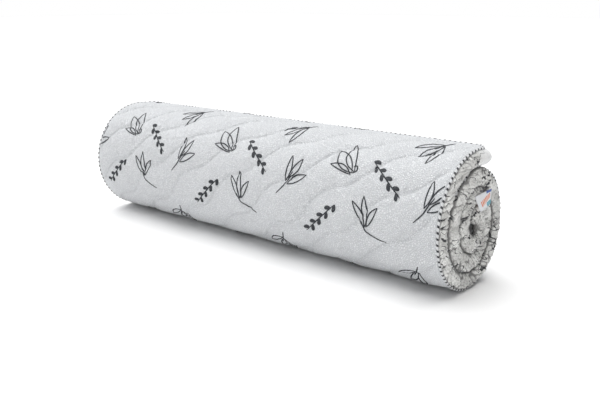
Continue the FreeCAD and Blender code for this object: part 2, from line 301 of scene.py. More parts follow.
def quilt_field():
    """How the filling lifts the printed cloth between its quilting lines."""
    start = (-SEAM, 0.0)
    width = 2 * SEAM
    length = TURN_STARTS[2] + 0.06
    held = lambda x, y: quilt_distance(x + start[0], y + start[1]) < STITCH_REACH
    heights = inflate("quilt_cloth", width, length, QUILT_GRID, held, QUILT_EASE, QUILT_FRAMES)
    return Field(heights, start, QUILT_GRID)


def border_field():
    """How the border strip gathers and puffs between its two cords."""
    start = (-BORDER_LEAD, 0.0)
    width = THICKNESS - 2 * CORD_INSET
    margin = 0.4 * BORDER_GRID
    held = lambda x, y: (y < margin) | (y > width - margin)
    heights = inflate("border_cloth", BORDER_RUN, width, BORDER_GRID, held, BORDER_EASE, BORDER_FRAMES)
    return Field(heights, start, BORDER_GRID)


QUILT = quilt_field()
BORDER = border_field()


def smooth_step(value, low, high):
    """0 below low, 1 above high, and a smooth rise between."""
    share = np.clip((value - low) / (high - low), 0.0, 1.0)
    return share * share * (3 - 2 * share)


def quilt_relief(across, along):
    """Height of the quilted cloth over its flat face."""
    distance = quilt_distance(across, along)
    valley = np.exp(-((distance / VALLEY_REACH) ** 2))
    ripple = np.sin((across - along) * 330.0 + 3 * np.sin(across * 41.0))
    pucker = PUCKER_DEPTH * ripple * np.exp(-((distance / PUCKER_REACH) ** 2))
    puff = QUILT_PUFF * QUILT.at(across, along) - QUILT_DEPTH * valley + pucker - QUILT_REST
    sewn = smooth_step(half_width(along) - np.abs(across), 0.0, SEWN_REACH)
    sewn = sewn * smooth_step(along, SEAM_INSET, SEAM_INSET + SEWN_REACH)
    return puff * sewn - SEWN_DEPTH * (1 - sewn)


def inner_relief(across, along):
    """The inner panel has the same quilting, mirrored, and less filling."""
    return np.minimum(INNER_FILLING * quilt_relief(-across, along), TURN_GAP * INNER_FILLING)


# Meshes
class Pattern:
    """Gathers closed strips of cloth, cord, foam or ink into one mesh."""

    def __init__(self):
        self.points = []
        self.normals = []
        self.flats = []
        self.faces = []
        self.count = 0

    def sweep(self, points, flats, ghost=True):
        """Adds rows of closed loops, capped at both ends; ghost rows only steer the end rows' shading."""
        around = np.roll(points, -1, axis=1) - np.roll(points, 1, axis=1)
        normals = np.cross(np.gradient(points, axis=0), around)
        normals /= np.maximum(np.linalg.norm(normals, axis=-1, keepdims=True), 1e-12)
        if ghost:
            points, normals, flats = points[1:-1], normals[1:-1], flats[1:-1]
        rows, sides = points.shape[:2]
        index = np.arange(rows * sides).reshape(rows, sides)
        side_faces = [index[:-1], index[1:], np.roll(index[1:], -1, axis=1), np.roll(index[:-1], -1, axis=1)]
        faces = [np.stack(side_faces, axis=-1).reshape(-1, 4)]
        near = np.arange(sides // 2 - 1)
        for row, turn in ((index[0], 1), (index[-1], -1)):
            cap = np.stack([row[near], row[near + 1], row[sides - 2 - near], row[sides - 1 - near]], axis=-1)
            faces.append(cap[:, ::turn])
        faces = np.concatenate(faces)
        flat_points = points.reshape(-1, 3)
        if signed_volume(flat_points, faces) < 0:
            faces = faces[:, ::-1]
            normals = -normals
        self.points.append(flat_points)
        self.normals.append(normals.reshape(-1, 3))
        self.flats.append(flats.reshape(-1, 3))
        self.faces.append(faces + self.count)
        self.count += rows * sides

    def make(self, name, finish):
        """The object, with its flat coordinates kept for the weave."""
        points = np.concatenate(self.points)
        faces = np.concatenate(self.faces)
        mesh = bpy.data.meshes.new(name)
        mesh.vertices.add(len(points))
        mesh.vertices.foreach_set("co", points.ravel())
        mesh.loops.add(faces.size)
        mesh.loops.foreach_set("vertex_index", faces.ravel())
        mesh.polygons.add(len(faces))
        mesh.polygons.foreach_set("loop_start", np.arange(0, faces.size, 4))
        mesh.update(calc_edges=True)
        mesh.validate()
        flat = mesh.attributes.new("flat", "FLOAT_VECTOR", "POINT")
        flat.data.foreach_set("vector", np.concatenate(self.flats).ravel())
        mesh.shade_smooth()
        mesh.normals_split_custom_set_from_vertices(np.concatenate(self.normals).tolist())
        mesh.materials.append(finish)
        piece = bpy.data.objects.new(name, mesh)
        bpy.context.scene.collection.objects.link(piece)
        return piece


def signed_volume(points, faces):
    """Positive when the faces of a closed shape look outwards."""
    a, b, c, d = (points[faces[:, i]] for i in range(4))
    first = np.einsum("ij,ij->i", a, np.cross(b, c))
    second = np.einsum("ij,ij->i", a, np.cross(c, d))
    return float((first + second).sum())


def rows_between(start, end, step):
    """Lengths from start to end, with one ghost row beyond each end."""
    count = max(2, round((end - start) / step))
    pitch = (end - start) / count
    return np.linspace(start - pitch, end + pitch, count + 3)


def round_loop(front, back):
    """Closed rows: out along the front face of a layer and home along its back face."""
    return np.concatenate([front, back[:, ::-1]], axis=1)


def slab(pattern, along, columns, top, bottom, reach):
    """Adds a layer of the mattress: top and bottom give its two faces as depths, reach its half width."""
    share = np.linspace(-1, 1, columns)
    across = reach(along)[:, None] * share[None, :]
    length = np.broadcast_to(along[:, None], across.shape)
    upper = top(across, length)
    lower = bottom(across, length)
    across = round_loop(across, across)
    length = round_loop(length, length)
    depth = round_loop(upper, lower)
    flats = np.stack([across, length, depth], axis=-1)
    pattern.sweep(place(across, length, depth), flats)


@dataclass
class Chunk:
    """A length of the mattress: on one body, or over the hinge between two."""

    name: str
    start: float
    end: float
    bodies: tuple
    hinge: np.ndarray = None
    reach: tuple = None

    def fasten(self, piece, slot, *nodes):
        """Hides the parts this piece replaces, and puts the piece on its body when the chunk has no hinge.
        """
        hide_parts(*nodes)
        if self.hinge is None:
            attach(piece, self.bodies[0])
            return
        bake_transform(piece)


def lap_chunks():
    """One chunk over each hinge of the lap, from the middle of one section to the middle of the next."""
    half_bend = math.pi / HALF_TURNS / 2
    inner = math.sin(half_bend) * (LAP_RADIUS - THICKNESS)
    inner_roll = math.sin(half_bend) * (TURN_RADII[1] - THICKNESS)
    chunks = []
    for number, hinge in enumerate(HINGES, start=1):
        middle = TURN_STARTS[1] - LAP_RADIUS * 2 * half_bend * (number - 1)
        start = middle - LAP_RADIUS * half_bend
        end = middle + (TURN_RADII[1] if number == 1 else LAP_RADIUS) * half_bend
        parent = "roll" if number == 1 else f"lap_{number - 1}"
        reach = (inner_roll if number == 1 else inner, inner)
        chunks.append(Chunk(f"lap_{number}", start, end, (parent, f"lap_{number}"), hinge, reach))
    return chunks


LAPS = lap_chunks()
TIP = Chunk("foot", SEAM_INSET, LAPS[-1].start, ("lap_6",))
ROLL = Chunk("roll", LAPS[0].end, HEAD_END, ("roll",))
VISIBLE_END = TURN_STARTS[2] + VISIBLE_MARGIN


# Finishes
def arithmetic(operation, swapped=False):
    """An operator on values, which adds its Math node."""

    def apply(value, other=0.0):
        first, second = (other, value) if swapped else (value, other)
        return value.finish.node("ShaderNodeMath", {"operation": operation}, {0: first, 1: second})

    return apply


@dataclass
class Value:
    """A number that varies over a surface, with arithmetic."""

    finish: object
    socket: object

    __add__ = arithmetic("ADD")
    __radd__ = arithmetic("ADD", swapped=True)
    __sub__ = arithmetic("SUBTRACT")
    __rsub__ = arithmetic("SUBTRACT", swapped=True)
    __mul__ = arithmetic("MULTIPLY")
    __rmul__ = arithmetic("MULTIPLY", swapped=True)
    __gt__ = arithmetic("GREATER_THAN")
    __lt__ = arithmetic("LESS_THAN")
    __abs__ = arithmetic("ABSOLUTE")


class Finish:
    """One material and the short ways to build it."""

    def __init__(self, name, roughness, **constants):
        self.material = bpy.data.materials.new(name)
        self.material.use_nodes = True
        self.tree = self.material.node_tree
        self.tree.nodes.clear()
        self.shader = self.tree.nodes.new("ShaderNodeBsdfPrincipled")
        self.shader.inputs["Roughness"].default_value = roughness
        for socket, value in constants.items():
            self.shader.inputs[socket.replace("_", " ")].default_value = value
        output = self.tree.nodes.new("ShaderNodeOutputMaterial")
        self.tree.links.new(self.shader.outputs[0], output.inputs["Surface"])

    def node(self, kind, settings, sockets, output=0):
        """Adds a node: its settings first, then the values or links of its sockets."""
        made = self.tree.nodes.new(kind)
        for key, setting in settings.items():
            setattr(made, key, setting)
        for key, value in sockets.items():
            if isinstance(value, Value):
                self.tree.links.new(value.socket, made.inputs[key])
            else:
                made.inputs[key].default_value = value
        return Value(self, made.outputs[output])

    def flat(self):
        """Flat coordinates of the cloth: across, along and depth, in metres."""
        return self.node("ShaderNodeAttribute", {"attribute_name": "flat"}, {}, "Vector")

    def parts(self, vector):
        """The three numbers of a vector."""
        first = self.node("ShaderNodeSeparateXYZ", {}, {0: vector})
        return [Value(self, socket) for socket in first.socket.node.outputs]

    def position(self):
        """The place in the object's own frame, in metres."""
        return self.node("ShaderNodeTexCoord", {}, {}, "Object")

    def scaled(self, vector, scale):
        return self.node("ShaderNodeVectorMath", {"operation": "MULTIPLY"}, {0: vector, 1: scale})

    def noise(self, vector, scale, detail=2.0, distortion=0.0):
        sockets = {"Vector": vector, "Scale": scale, "Detail": detail, "Distortion": distortion}
        return self.node("ShaderNodeTexNoise", {}, sockets, "Fac")

    def cells(self, vector, scale, feature="F1"):
        return self.node("ShaderNodeTexVoronoi", {"feature": feature}, {"Vector": vector, "Scale": scale})

    def bent(self, vector, scale, amount):
        """The vector pushed about by noise, so that cells on it turn into worms."""
        sockets = {"Vector": vector, "Scale": scale, "Detail": 0.0}
        push = self.node("ShaderNodeTexNoise", {}, sockets, "Color")
        push = self.node("ShaderNodeVectorMath", {"operation": "SUBTRACT"}, {0: push, 1: (0.5, 0.5, 0.5)})
        push = self.scaled(push, (amount, amount, 0.0))
        return self.node("ShaderNodeVectorMath", {"operation": "ADD"}, {0: vector, 1: push})

    def wave(self, value, period):
        """A sine of the value, from 0 to 1."""
        angle = value * (2 * math.pi / period)
        return self.node("ShaderNodeMath", {"operation": "SINE"}, {0: angle}) * 0.5 + 0.5

    def ramp(self, value, low, high):
        """0 where the value is at low, 1 at high, smooth between."""
        sockets = {"Value": value, "From Min": low, "From Max": high}
        return self.node("ShaderNodeMapRange", {"interpolation_type": "SMOOTHSTEP"}, sockets)

    def mix(self, share, first, second):
        """A colour between two others."""
        settings = {"data_type": "RGBA"}
        return self.node("ShaderNodeMix", settings, {0: share, 6: first, 7: second}, 2)

    def colour(self, value):
        self.tree.links.new(value.socket, self.shader.inputs["Base Color"])

    def roughness(self, value):
        self.tree.links.new(value.socket, self.shader.inputs["Roughness"])

    def bump(self, height, distance, strength):
        sockets = {"Height": height, "Distance": distance, "Strength": strength}
        normal = self.node("ShaderNodeBump", {}, sockets)
        self.tree.links.new(normal.socket, self.shader.inputs["Normal"])


def knit_finish(name, light, shade):
    """Pale stretch knit with a raised worm-like pebble, and painted shade in the grooves between."""
    finish = Finish(name, 0.9, Sheen_Weight=0.15, Sheen_Roughness=0.5, Specular_IOR_Level=0.25)
    flat = finish.flat()
    bent = finish.bent(flat, 60.0, 0.006)
    pebble = finish.cells(bent, 185.0, "DISTANCE_TO_EDGE")
    ridge = finish.ramp(pebble, -0.06, 0.30)
    thread = finish.noise(flat, 900.0, 1.0)
    tone = finish.noise(flat, 9.0, 2.0)
    # painted shade: the grooves between the raised pebbles take the darker colour
    finish.colour(finish.mix(ridge * 0.75 + tone * 0.25, shade, light))
    finish.roughness(0.95 - ridge * 0.12)
    finish.bump(ridge + thread * 0.25, 0.0016, 1.0)
    return finish.material


def border_finish(name):
    """Taupe grey border cloth: a ribbed knit, with painted shade in its creases and beside its cords."""
    finish = Finish(name, 0.9, Sheen_Weight=0.2, Sheen_Roughness=0.5, Specular_IOR_Level=0.2)
    flat = finish.flat()
    fold, along, depth = finish.parts(flat)
    rib = finish.wave(along, 0.0034)
    pebble = finish.noise(flat, 240.0, 2.0, 1.0)
    tone = finish.noise(flat, 22.0, 3.0)
    base = finish.mix(finish.ramp(tone, 0.3, 0.7), (0.66, 0.657, 0.64, 1), (0.93, 0.928, 0.91, 1))
    base = finish.mix(finish.ramp(pebble, 0.50, 0.62) * 0.38, base, (0.30, 0.297, 0.29, 1))
    # painted shade: the strip darkens next to its cords, along the gap where one turn meets the next
    edge = finish.ramp(abs(depth - THICKNESS / 2), 0.020, 0.0265)
    base = finish.mix(edge * 0.55, base, (0.16, 0.155, 0.15, 1))
    # painted shade: the cloth is darkened in the creases between its folds
    crease_shade = 1 - finish.ramp(fold, 0.16 * FOLD_SCALE, 0.46 * FOLD_SCALE)
    base = finish.mix(crease_shade * 0.8, base, (0.13, 0.128, 0.125, 1))
    drawn = 1 - finish.ramp(abs(finish.noise(flat, 24.0, 0.0, 1.0) - 0.5), 0.016, 0.030)
    patch = finish.ramp(finish.noise(flat, 14.0, 1.0), 0.45, 0.50)
    base = finish.mix(drawn * patch * 0.95, base, (0.03, 0.032, 0.036, 1))
    finish.colour(finish.mix(finish.ramp(along, 0.10, 0.035) * 0.85, base, (0.80, 0.805, 0.81, 1)))
    finish.bump(rib * 0.4 + pebble, 0.0008, 0.8)
    return finish.material


def piping_finish(name):
    """Twisted two-tone cord: white and charcoal dashes."""
    finish = Finish(name, 0.7, Sheen_Weight=0.1, Specular_IOR_Level=0.3)
    turn, along, _ = finish.parts(finish.flat())
    slant = along + turn * (PIPING_DASH * 0.5)
    dash = finish.ramp(finish.wave(slant, PIPING_DASH), 0.28, 0.38)
    ply = finish.wave(slant, 0.0022)
    fleck = finish.noise(finish.flat(), 700.0, 2.0)
    dark = finish.mix(fleck, (0.018, 0.020, 0.024, 1), (0.06, 0.062, 0.068, 1))
    light = finish.mix(fleck, (0.62, 0.63, 0.64, 1), (0.86, 0.87, 0.88, 1))
    finish.colour(finish.mix(dash, dark, light))
    finish.bump(ply + fleck * 0.4, 0.0005, 0.8)
    return finish.material


def ink_finish(name):
    """Charcoal print, a little broken by the knit."""
    finish = Finish(name, 0.75, Specular_IOR_Level=0.3)
    flat = finish.flat()
    broken = finish.ramp(finish.noise(flat, 260.0, 2.0), 0.55, 0.8)
    finish.colour(finish.mix(broken, (0.030, 0.033, 0.038, 1), (0.16, 0.165, 0.175, 1)))
    finish.bump(finish.noise(flat, 500.0, 1.0), 0.0003, 0.5)
    return finish.material


def foam_finish(name, light, shade, cell):
    """Open-cell foam: small round pores of several sizes."""
    finish = Finish(name, 0.95, Specular_IOR_Level=0.2)
    position = finish.position()
    pores = finish.cells(position, cell)
    small = finish.cells(position, cell * 2.7)
    solid = finish.ramp(pores * 0.7 + small * 0.3, 0.12, 0.42)
    tone = finish.noise(position, 7.0, 2.0)
    # painted shade: the pores take the darker colour
    finish.colour(finish.mix(solid * 0.7 + tone * 0.3, shade, light))
    finish.bump(solid, 0.0012, 0.8)
    return finish.material


def tape_finish(name):
    """Zip tape: a fine dark herringbone."""
    finish = Finish(name, 0.85, Specular_IOR_Level=0.3)
    across, _, depth = finish.parts(finish.flat())
    twill = finish.wave(across + abs(depth - THICKNESS / 2), 0.0016)
    rib = finish.wave(depth, 0.0011)
    finish.colour(finish.mix(twill, (0.11, 0.112, 0.118, 1), (0.20, 0.202, 0.21, 1)))
    finish.bump(twill + rib * 0.5, 0.0004, 0.8)
    return finish.material


def coil_finish(name):
    """Nylon zip coil, slightly glossy."""
    finish = Finish(name, 0.35, Specular_IOR_Level=0.5)
    fleck = finish.noise(finish.position(), 400.0, 2.0)
    finish.colour(finish.mix(fleck, (0.05, 0.051, 0.055, 1), (0.10, 0.102, 0.11, 1)))
    finish.roughness(0.30 + fleck * 0.2)
    return finish.material


def label_finish(name):
    """White satin with a band of orange bars and two coloured corners."""
    finish = Finish(name, 0.45, Specular_IOR_Level=0.4)
    length, drop, _ = finish.parts(finish.flat())
    thread = finish.wave(drop, 0.0009)
    base = finish.mix(thread, (0.74, 0.75, 0.78, 1), (0.88, 0.89, 0.91, 1))
    slope = drop + length * 0.20 - 0.031
    band = (abs(slope) < 0.0070) * (length > 0.018) * (length < 0.076)
    bars = finish.ramp(finish.wave(length, 0.0090), 0.22, 0.34)
    base = finish.mix(band * bars, base, (0.72, 0.17, 0.035, 1))
    blue = (length > 0.056) * (drop < 0.007)
    base = finish.mix(blue, base, (0.05, 0.11, 0.36, 1))
    teal = (length > 0.050) * (drop > 0.030)
    finish.colour(finish.mix(teal, base, (0.10, 0.36, 0.45, 1)))
    finish.bump(thread, 0.0002, 0.5)
    return finish.material


def metal_finish(name):
    """Brushed nickel of the slider, pull and stops."""
    finish = Finish(name, 0.3, Metallic=1.0)
    position = finish.position()
    brushed = finish.noise(finish.scaled(position, (900.0, 900.0, 60.0)), 1.0, 3.0)
    worn = finish.noise(position, 160.0, 3.0)
    finish.colour(finish.mix(worn, (0.42, 0.41, 0.39, 1), (0.66, 0.65, 0.63, 1)))
    finish.roughness(0.22 + brushed * 0.25)
    finish.bump(brushed, 0.0001, 0.4)
    return finish.material


KNIT = knit_finish("printed_knit", (0.85, 0.865, 0.88, 1), (0.55, 0.565, 0.59, 1))
LINING_KNIT = knit_finish("inner_knit", (0.78, 0.785, 0.79, 1), (0.50, 0.505, 0.515, 1))
BORDER_CLOTH = border_finish("border_cloth")
PIPING = piping_finish("piping_cord")
INK = ink_finish("print_ink")
MEMORY = foam_finish("memory_foam", (0.80, 0.76, 0.62, 1), (0.60, 0.55, 0.42, 1), 420.0)
SUPPORT = foam_finish("support_foam", (0.62, 0.68, 0.74, 1), (0.42, 0.48, 0.55, 1), 300.0)
TAPE = tape_finish("zip_tape")
COIL = coil_finish("zip_coil")
LABEL_SATIN = label_finish("label_satin")
METAL = metal_finish("zip_metal")


# Layers: quilted panels and foams
def outer_panel(chunk, name, start, end, step, nodes):
    """The printed quilted panel between two lengths."""
    pattern = Pattern()
    along = rows_between(start, end, step)
    columns = round(2 * SEAM / step)
    top = lambda x, s: -quilt_relief(x, s)
    bottom = lambda x, s: np.full_like(x, PANEL_DEPTH)
    slab(pattern, along, columns, top, bottom, half_width)
    piece = pattern.make(f"cover_outer_{name}", KNIT)
    chunk.fasten(piece, "quilted_cover", *nodes)


def inner_panel(chunk, start, end, step, nodes):
    """The quilted panel on the other face of the foam."""
    pattern = Pattern()
    along = rows_between(start, end, step)
    columns = round(2 * SEAM / step)
    top = lambda x, s: np.full_like(x, THICKNESS - PANEL_DEPTH)
    bottom = lambda x, s: THICKNESS + inner_relief(x, s)
    slab(pattern, along, columns, top, bottom, half_width)
    piece = pattern.make(f"cover_inner_{chunk.name}", LINING_KNIT)
    chunk.fasten(piece, "quilted_cover", *nodes)


def foam_layer(chunk, name, start, end, upper, lower, finish, slot, nodes):
    """One foam layer: its faces dip a little, as cut foam does."""
    pattern = Pattern()
    along = rows_between(start, end, CORE_STEP)
    dip = lambda x, s: FOAM_DIP * np.sin(x * 23.0) * np.sin(s * 31.0)
    top = lambda x, s: upper + FOAM_GAP + dip(x, s)
    bottom = lambda x, s: lower - FOAM_GAP + dip(x, s)
    reach = lambda s: half_width(s) - FOAM_INSET
    slab(pattern, along, FOAM_COLUMNS, top, bottom, reach)
    piece = pattern.make(f"{name}_{chunk.name}", finish)
    chunk.fasten(piece, slot, *nodes)


def foam_layers(chunk, start, end, memory_node, support_node):
    """The soft upper foam and the firmer one under it."""
    middle = PANEL_DEPTH + MEMORY_DEPTH
    lower = middle + SUPPORT_DEPTH
    soft = (PANEL_DEPTH, middle, MEMORY, "memory_foam", memory_node)
    firm = (middle, lower, SUPPORT, "support_foam", support_node)
    foam_layer(chunk, "foam_memory", start, end, *soft)
    foam_layer(chunk, "foam_support", start, end, *firm)


# Edges: border strips and piping
def side_edge(side, along):
    """The seam line along one long side: its points, the way out from it, and its length for the gathers."""
    across = np.full_like(along, side * SEAM)
    outward = np.stack([np.full_like(along, float(side)), np.zeros_like(along)], axis=-1)
    return np.stack([across, along], axis=-1), outward, along


def foot_edge():
    """The seam line round the free end: up one side, round the corner, across, and back."""
    corner = SEAM_INSET + CORNER_RADIUS
    arc = math.pi / 2 * CORNER_RADIUS
    straight = SEAM - CORNER_RADIUS
    run = TIP.end - corner
    total = run + arc + straight
    distance = rows_between(0.0, 2 * total, EDGE_STEP)
    side = np.where(distance < total, -1.0, 1.0)
    left = np.where(distance < total, distance, 2 * total - distance)
    turned = np.clip((left - run) / arc, 0.0, 1.0) * math.pi / 2
    on_side = np.minimum(left - run, 0.0)
    on_foot = np.maximum(left - run - arc, 0.0)
    across = SEAM - CORNER_RADIUS + CORNER_RADIUS * np.cos(turned) - on_foot
    along = corner - on_side - CORNER_RADIUS * np.sin(turned)
    outward = np.stack([side * np.cos(turned), -np.sin(turned)], axis=-1)
    return np.stack([side * across, along], axis=-1), outward, TIP.end - left


def off_edge(edge, outward, offset, depth):
    """Points beside the seam line, pushed out by offset, at this depth."""
    flat = edge[:, None, :] + outward[:, None, :] * offset[..., None]
    return place(flat[..., 0], flat[..., 1], depth)


def exposed(length):
    """1 where the outer cord shows on the outside of the roll, 0 where the next turn covers it."""
    return 1 - smooth_step(length, TURN_STARTS[2] - 0.06, TURN_STARTS[2])


def on_lap(length):
    """1 along the outermost half turn, whose inner cord peeps out, 0 further in."""
    return 1 - smooth_step(length, TURN_STARTS[1] - 0.10, TURN_STARTS[1])


def crumple(length, depth):
    """Sharp small folds of gathered cloth: ridges in several directions with creases between them."""
    warp = 1.8 * np.sin(length * 37.0 + 2.0) + 1.2 * np.sin(length * 83.0 + depth * 120.0)
    first = np.abs(np.sin(length * 82.0 + depth * 95.0 + warp))
    second = np.abs(np.sin(length * 157.0 - depth * 190.0 + 1.7 * warp))
    third = np.abs(np.sin(length * 39.0 + depth * 230.0 - 1.4 * warp))
    return np.minimum(np.minimum(first, 0.25 + second), 0.1 + third) ** 0.65


def border_strip(pattern, edge, outward, length, side):
    """A gathered strip between the two cords, puffed out by the foam."""
    share = np.linspace(0.0, 1.0, BORDER_COLUMNS)[None, :]
    shown = exposed(length)[:, None]
    first = CORD_INSET * 1.5 * shown - 0.0004 * (1 - shown)
    tuck = CORE_TUCK * np.exp(-(((length - CORE_START + CORE_TUCK_PLACE) / CORE_TUCK_REACH) ** 2))
    last = (THICKNESS + BORDER_OVERLAP + tuck - CORD_INSET * 1.5 * on_lap(length))[:, None]
    depth = first + share * (last - first)
    wander = np.sin(length * 41.0) + 0.7 * np.sin(length * 97.0 + 1.0)
    depth = depth + BORDER_WANDER * wander[:, None] * (1 - shown)
    sample = np.where(side > 0, length, BORDER_MIRROR - length)[:, None] + 0 * depth
    gather = BORDER.at(sample, np.clip(depth - CORD_INSET, 0, THICKNESS - 2 * CORD_INSET))
    arch = np.sin(math.pi * share) ** 0.42
    calm = 1 - smooth_step(length, 0.045, 0.11)[:, None]
    fold = (crumple(sample, depth) * (1 - calm) + CALM_FOLD * calm) * arch
    flat_foot = smooth_step(-outward[:, 1], 0.75, 1.0)[:, None]
    swell = 1 + 0.5 * np.sin(length * 9.0 + 1.0)[:, None]
    corner = 2 * np.abs(outward[:, :1] * outward[:, 1:])
    fullness = 0.42 * arch * swell + 0.35 * gather + 0.75 * (fold - 0.6 * arch)
    puff = BORDER_PUFF * fullness * (1 - flat_foot) + CORNER_PUFF * corner * arch
    outer = SEAM_INSET - BORDER_TURN_IN * (1 - arch) + puff
    inner = outer - BORDER_DEPTH
    offset = round_loop(outer, inner)
    depths = round_loop(depth, depth)
    # The fold height rides in the flat coordinates; the border's colour paints shade into its creases from
    # it
    folds = round_loop(fold, fold) * FOLD_SCALE
    flats = np.stack([folds, length[:, None] + 0 * depths, depths], axis=-1)
    pattern.sweep(off_edge(edge, outward, offset, depths), flats)


def cord(pattern, edge, outward, length, depth, sunk):
    """A two-ply cord along the seam line, sunk where the border folds over it."""
    turn = np.linspace(0, 1, CORD_SIDES, endpoint=False)[None, :]
    angle = turn * 2 * math.pi
    ply = PLY_DEPTH * np.cos(2 * angle - length[:, None] * 2 * math.pi / PIPING_DASH)
    radius = CORD_RADIUS + ply
    offset = CORD_INSET - sunk[:, None] - radius * np.cos(angle)
    depths = depth + radius * np.sin(angle)
    flats = np.stack([turn + 0 * offset, length[:, None] + 0 * offset, 0 * offset], axis=-1)
    pattern.sweep(off_edge(edge, outward, offset, depths), flats)


def borders(chunk, edges, names, nodes):
    """The border strips of a chunk, one for each edge."""
    for (edge, outward, length, side), name, replaced in zip(edges, names, nodes):
        pattern = Pattern()
        border_strip(pattern, edge, outward, length, side)
        piece = pattern.make(name, BORDER_CLOTH)
        chunk.fasten(piece, "border_cloth", *replaced)


def pipings(chunk, edges, nodes):
    """The outer and inner cords of a chunk."""
    pattern = Pattern()
    for edge, outward, length, _ in edges:
        covered = (1 - 0.6 * on_lap(length)) * (1 - smooth_step(-outward[:, 1], 0.75, 1.0))
        cord(pattern, edge, outward, length, CORD_INSET, EXPOSED_GAP * (1 - exposed(length)))
        cord(pattern, edge, outward, length, THICKNESS - CORD_INSET, EXPOSED_GAP * covered)
    piece = pattern.make(f"piping_{chunk.name}", PIPING)
    chunk.fasten(piece, "piping", *nodes)


def side_edges(start, end):
    """Both long seam lines between two lengths."""
    along = rows_between(start, end, EDGE_STEP)
    return [(*side_edge(side, along), np.full_like(along, side)) for side in (-1, 1)]


def head_border():
    """The strip that closes the head end inside the core."""
    across = rows_between(-SEAM, SEAM, CORE_STEP)
    share = np.linspace(0.0, 1.0, 11)[None, :]
    depth = CORD_INSET + share * (THICKNESS - 2 * CORD_INSET) + 0 * across[:, None]
    outer = HEAD_END + 0.0015 * np.sin(math.pi * share) + 0 * depth
    length = round_loop(outer, outer - 0.003)
    depths = round_loop(depth, depth)
    width = across[:, None] + 0 * depths
    pattern = Pattern()
    pattern.sweep(place(width, length, depths), np.stack([length, width, depths], axis=-1))
    piece = pattern.make("border_head", BORDER_CLOTH)
    ROLL.fasten(piece, "border_cloth", "head_border")


# The print
LINE = 0.0017
PRINT_ACROSS = 0.460
PRINT_ALONG = 0.410
PRINT_MARGIN = 0.004
INK_PROUD = 0.0009
INK_SUNK = 0.0006
LEAF_OUTLINE = ((0.0, 0.0), (0.25, 0.75), (0.55, 1.0), (0.82, 0.55), (1.0, 0.0))
BRAID_LEAVES = 8


def curve_points(points, step=0.003):
    """A smooth line through given points."""
    points = np.array(points, float)
    ends = np.vstack([2 * points[0] - points[1], points, 2 * points[-1] - points[-2]])
    made = []
    for a, b, c, d in zip(ends, ends[1:], ends[2:], ends[3:]):
        count = max(2, math.ceil(np.linalg.norm(c - b) / step))
        t = np.linspace(0, 1, count, endpoint=False)[:, None]
        square = (2 * a - 5 * b + 4 * c - d) * t**2
        cube = (3 * b - a - 3 * c + d) * t**3
        made.append(0.5 * (2 * b + (c - a) * t + square + cube))
    made.append(points[-1:])
    return np.concatenate(made)


def line(*points):
    """A drawn line that thins out at its ends."""
    route = curve_points(points)
    share = np.linspace(0, 1, len(route))
    return route, LINE * (0.45 + 0.65 * np.sin(math.pi * share) ** 0.5)


def petal(base, tip, belly, lean=0.0):
    """The two edges of a leaf from its base to its tip."""
    base, tip = np.array(base), np.array(tip)
    reach = tip - base
    normal = np.array([-reach[1], reach[0]])
    normal = normal / np.linalg.norm(normal)
    edges = []
    for side in (-1, 1):
        points = []
        for share, width in LEAF_OUTLINE:
            bend = side * belly * width + lean * math.sin(math.pi * share)
            points.append(base + reach * share + normal * bend)
        edges.append(line(*points))
    return edges


def bud():
    """Three broad leaves opening from a curled stem."""
    strokes = petal((-0.048, 0.249), (-0.122, 0.182), 0.019, -0.004)
    strokes += petal((-0.042, 0.246), (-0.084, 0.154), 0.016, -0.010)
    strokes += petal((-0.052, 0.254), (-0.128, 0.234), 0.009, 0.006)
    strokes.append(line((-0.047, 0.250), (-0.036, 0.240), (-0.040, 0.228), (-0.050, 0.232)))
    return strokes


def sprig():
    """Three leaves on a long stem."""
    strokes = petal((0.192, 0.306), (0.194, 0.229), 0.008, 0.006)
    strokes += petal((0.202, 0.296), (0.234, 0.234), 0.009, 0.004)
    strokes += petal((0.202, 0.314), (0.264, 0.279), 0.010, -0.003)
    strokes.append(line((0.214, 0.276), (0.202, 0.300), (0.188, 0.324), (0.168, 0.346)))
    return strokes


def tulip():
    """Three slim leaves that part from a bent stem."""
    strokes = petal((0.024, 0.386), (0.011, 0.304), 0.008)
    strokes += petal((0.020, 0.388), (-0.023, 0.322), 0.008, 0.004)
    strokes += petal((0.028, 0.384), (0.057, 0.328), 0.008, -0.003)
    strokes.append(line((0.010, 0.372), (0.024, 0.396), (0.050, 0.408), (0.084, 0.421)))
    return strokes


def top_sprig():
    """Three slim leaves near the free end."""
    strokes = petal((0.156, 0.090), (0.086, 0.130), 0.009, 0.004)
    strokes += petal((0.158, 0.096), (0.112, 0.160), 0.009, -0.003)
    strokes += petal((0.160, 0.100), (0.148, 0.186), 0.009, -0.003)
    strokes.append(line((0.140, 0.120), (0.156, 0.094), (0.164, 0.078), (0.170, 0.064)))
    return strokes


def braid(start, end):
    """A bold row of filled leaves, laid alternately left and right along a line."""
    start, end = np.array(start), np.array(end)
    reach = end - start
    length = float(np.linalg.norm(reach))
    forward = reach / length
    side = np.array([-forward[1], forward[0]])
    strokes = []
    for number in range(BRAID_LEAVES):
        middle = start + reach * (number + 0.5) / BRAID_LEAVES
        lean = side if number % 2 else -side
        tail = middle - forward * 0.010 + lean * 0.0005
        tip = middle + forward * 0.009 + lean * 0.0120
        route = curve_points([tail, (tail + tip) / 2 + lean * 0.0015, tip], 0.002)
        share = np.linspace(0, 1, len(route))
        strokes.append((route, 0.0010 + 0.0048 * np.sin(math.pi * share) ** 0.6))
    strokes.append(line(start, (start + end) / 2, end))
    return strokes


def print_strokes():
    """Every drawn line of the cloth that can be seen, in flat coordinates."""
    motif = bud() + sprig() + tulip() + top_sprig()
    motif += braid((0.003, 0.205), (0.116, 0.292)) + braid((-0.079, 0.343), (-0.185, 0.439))
    strokes = []
    for column in range(-2, 3):
        for row in range(-2, 4):
            shift = np.array([column * PRINT_ACROSS, row * PRINT_ALONG])
            strokes += [(route + shift, width) for route, width in motif]
    return strokes


